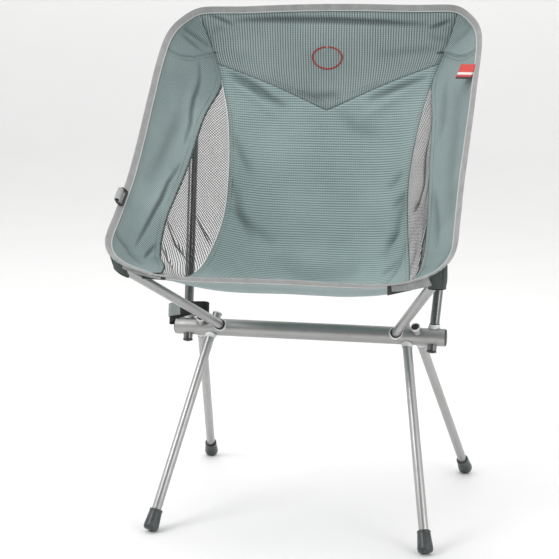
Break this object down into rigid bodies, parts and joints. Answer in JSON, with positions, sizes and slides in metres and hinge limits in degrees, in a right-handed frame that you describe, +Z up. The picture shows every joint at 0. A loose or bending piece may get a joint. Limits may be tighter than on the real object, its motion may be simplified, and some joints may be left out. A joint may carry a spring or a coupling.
{
  "type": "backpacking chair",
  "caption": "Low camp chair with a mesh-sided fabric sling hung on slim alloy poles that plug through one cross tube, with splayed legs in rubber boots.",
  "frame": {"origin": "on the floor, under the middle of the chair's width and depth", "axes": "+Z up, -Y towards the front of the chair, +X towards the right-hand side seen from the front"},
  "size_m": [0.5279, 0.5161, 0.8251],
  "materials": {
    "grey_alloy": "satin grey anodised",
    "bright_alloy": "plain drawn",
    "grey_collar": "moulded, light grey",
    "black_plastic": "moulded, black",
    "dark_rubber": "smooth, slightly shiny",
    "teal_cloth": "woven, fine cross ribs",
    "ribbed_cloth": "woven, fine upright ribs",
    "black_mesh": "open net",
    "black_cloth": "plain weave",
    "grey_webbing": "woven tape",
    "red_label": "woven ribbon, plain",
    "white_cord": "braided over elastic"
  },
  "bodies": {
    "frame": {"cross_tube": "grey_alloy", "end_cap_left": "black_plastic", "end_cap_right": "black_plastic", "pole_strap": "grey_webbing"},
    "front_leg_left": {"front_leg_left": "grey_alloy", "front_leg_left_collar": "grey_collar", "front_leg_left_plug": "black_plastic", "front_foot_left": "dark_rubber"},
    "rear_leg_left": {"rear_leg_left": "grey_alloy", "rear_leg_left_collar": "grey_collar", "rear_leg_left_plug": "black_plastic", "rear_foot_left": "dark_rubber"},
    "seat_pole_left": {"seat_pole_left": "grey_alloy", "seat_pole_left_collar": "grey_collar", "seat_pole_left_plug": "black_plastic", "seat_pole_left_tip": "black_plastic"},
    "back_pole_left": {"back_pole_lower_left": "grey_alloy", "back_pole_left_ferrule": "bright_alloy", "back_pole_left_shock_cord": "white_cord", "back_pole_left_collar": "grey_collar", "back_pole_left_plug": "black_plastic"},
    "back_pole_top_left": {"back_pole_upper_left": "grey_alloy", "back_pole_left_tip": "black_plastic"},
    "front_leg_right": {"front_leg_right": "grey_alloy", "front_leg_right_collar": "grey_collar", "front_leg_right_plug": "black_plastic", "front_foot_right": "dark_rubber"},
    "rear_leg_right": {"rear_leg_right": "grey_alloy", "rear_leg_right_collar": "grey_collar", "rear_leg_right_plug": "black_plastic", "rear_foot_right": "dark_rubber"},
    "seat_pole_right": {"seat_pole_right": "grey_alloy", "seat_pole_right_collar": "grey_collar", "seat_pole_right_plug": "black_plastic", "seat_pole_right_tip": "black_plastic"},
    "back_pole_right": {"back_pole_lower_right": "grey_alloy", "back_pole_right_ferrule": "bright_alloy", "back_pole_right_shock_cord": "white_cord", "back_pole_right_collar": "grey_collar", "back_pole_right_plug": "black_plastic"},
    "back_pole_top_right": {"back_pole_upper_right": "grey_alloy", "back_pole_right_tip": "black_plastic"},
    "sling": {"top_band": "ribbed_cloth", "seat_back_panel": "teal_cloth", "edge_binding": "grey_webbing", "side_label": "red_label", "side_ring_tab": "grey_webbing", "mesh_panel_left": "black_mesh", "wing_panel_left": "teal_cloth", "back_pole_sleeve_left": "teal_cloth", "seat_pole_hood_left": "black_cloth", "front_tab_left": "black_cloth", "mesh_panel_right": "black_mesh", "wing_panel_right": "teal_cloth", "back_pole_sleeve_right": "teal_cloth", "seat_pole_hood_right": "black_cloth", "front_tab_right": "black_cloth"},
    "side_ring": {"side_ring": "black_plastic"}
  },
  "joints": [
    {"name": "front_leg_left_pull", "type": "slide", "parent": "frame", "child": "front_leg_left", "axis": [-0.1659, -0.4934, -0.8538], "range_m": [0, 0.045]},
    {"name": "front_leg_right_pull", "type": "slide", "parent": "frame", "child": "front_leg_right", "axis": [0.1659, -0.4934, -0.8538], "range_m": [0, 0.045]},
    {"name": "rear_leg_left_pull", "type": "slide", "parent": "frame", "child": "rear_leg_left", "axis": [-0.1481, 0.6453, -0.7495], "range_m": [0, 0.045]},
    {"name": "rear_leg_right_pull", "type": "slide", "parent": "frame", "child": "rear_leg_right", "axis": [0.1481, 0.6453, -0.7495], "range_m": [0, 0.045]},
    {"name": "sling_lift", "type": "slide", "parent": "frame", "child": "sling", "axis": [0, 0, 1], "range_m": [0, 0.3]},
    {"name": "seat_pole_left_pull", "type": "slide", "parent": "frame", "child": "seat_pole_left", "axis": [-0.3318, -0.8188, 0.4684], "range_m": [0, 0.045]},
    {"name": "seat_pole_right_pull", "type": "slide", "parent": "frame", "child": "seat_pole_right", "axis": [0.3318, -0.8188, 0.4684], "range_m": [0, 0.045]},
    {"name": "back_pole_left_pull", "type": "slide", "parent": "frame", "child": "back_pole_left", "axis": [-0.0562, 0.3214, 0.9453], "range_m": [0, 0.045]},
    {"name": "back_pole_right_pull", "type": "slide", "parent": "frame", "child": "back_pole_right", "axis": [0.0562, 0.3214, 0.9453], "range_m": [0, 0.045]},
    {"name": "back_pole_top_left_pull", "type": "slide", "parent": "back_pole_left", "child": "back_pole_top_left", "axis": [-0.0562, 0.3214, 0.9453], "range_m": [0, 0.045]},
    {"name": "back_pole_top_right_pull", "type": "slide", "parent": "back_pole_right", "child": "back_pole_top_right", "axis": [0.0562, 0.3214, 0.9453], "range_m": [0, 0.045]},
    {"name": "side_ring_swing", "type": "hinge", "parent": "sling", "child": "side_ring", "pos_m": [-0.25931, -0.16986, 0.53193], "axis": [-0.0184, -0.7663, -0.6422], "range_deg": [0, 150]}
  ],
  "couplings": [
    {"joint": "seat_pole_left_pull", "follows": "sling_lift", "ratio": 0.15},
    {"joint": "seat_pole_right_pull", "follows": "sling_lift", "ratio": 0.15},
    {"joint": "back_pole_left_pull", "follows": "sling_lift", "ratio": 0.15},
    {"joint": "back_pole_right_pull", "follows": "sling_lift", "ratio": 0.15},
    {"joint": "back_pole_top_left_pull", "follows": "sling_lift", "ratio": 0.13},
    {"joint": "back_pole_top_right_pull", "follows": "sling_lift", "ratio": 0.13}
  ]
}
